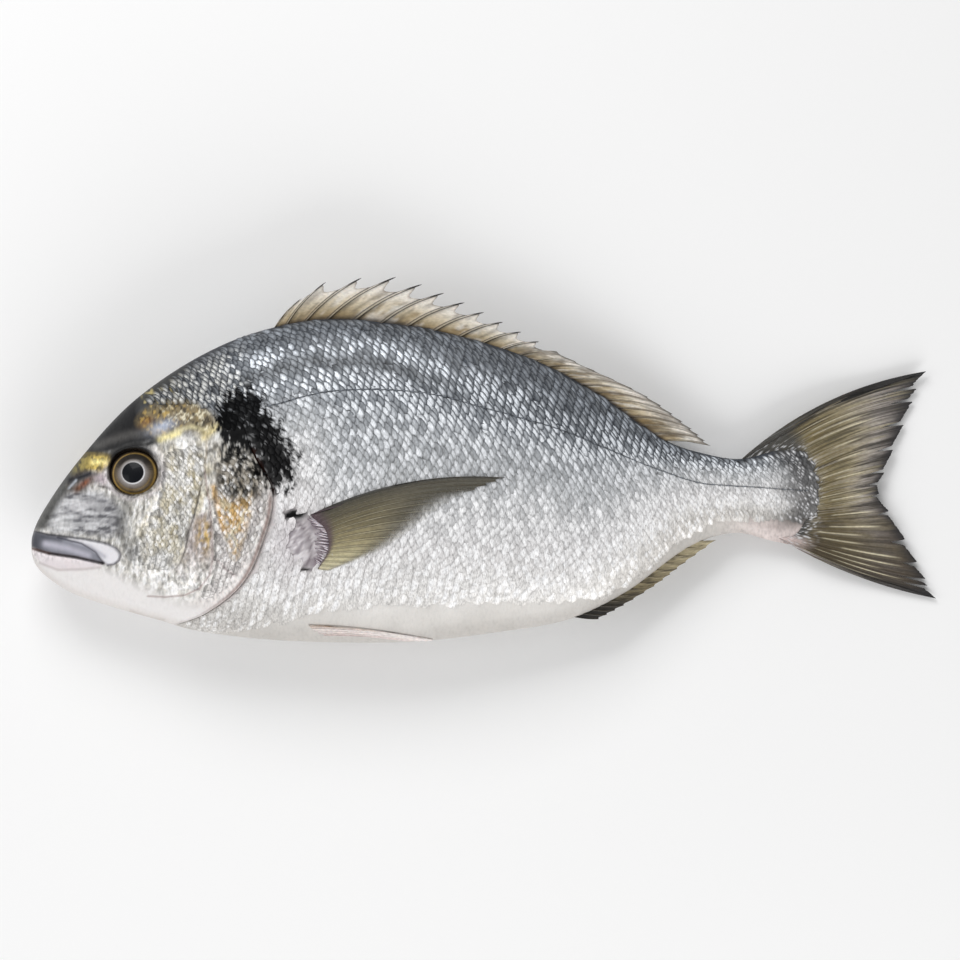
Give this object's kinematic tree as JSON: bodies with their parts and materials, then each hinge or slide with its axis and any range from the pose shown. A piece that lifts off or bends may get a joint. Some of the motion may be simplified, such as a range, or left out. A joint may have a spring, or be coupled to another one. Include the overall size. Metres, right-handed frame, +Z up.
{
  "type": "whole sea bream",
  "caption": "Whole raw sea bream lying on its right flank, with its fins, gill covers and eyes, for kitchens, fish counters and market stalls.",
  "frame": {"origin": "under the middle of the whole fish, on the surface that it lies on", "axes": "+X from the snout towards the tail, +Y from the belly towards the back, +Z up out of the left flank"},
  "size_m": [0.2998, 0.121, 0.0399],
  "materials": {
    "skin": "wet silver skin, slate on the back and white on the belly, with overlapping scales",
    "fin": "thin olive web over pale and dark rays, wet and slightly see-through",
    "eye": "clear wet cornea over a bronze iris and a blue-black pupil"
  },
  "bodies": {
    "root": {"fish": "skin", "eye_left": "eye", "eye_right": "eye"}
  },
  "joints": []
}
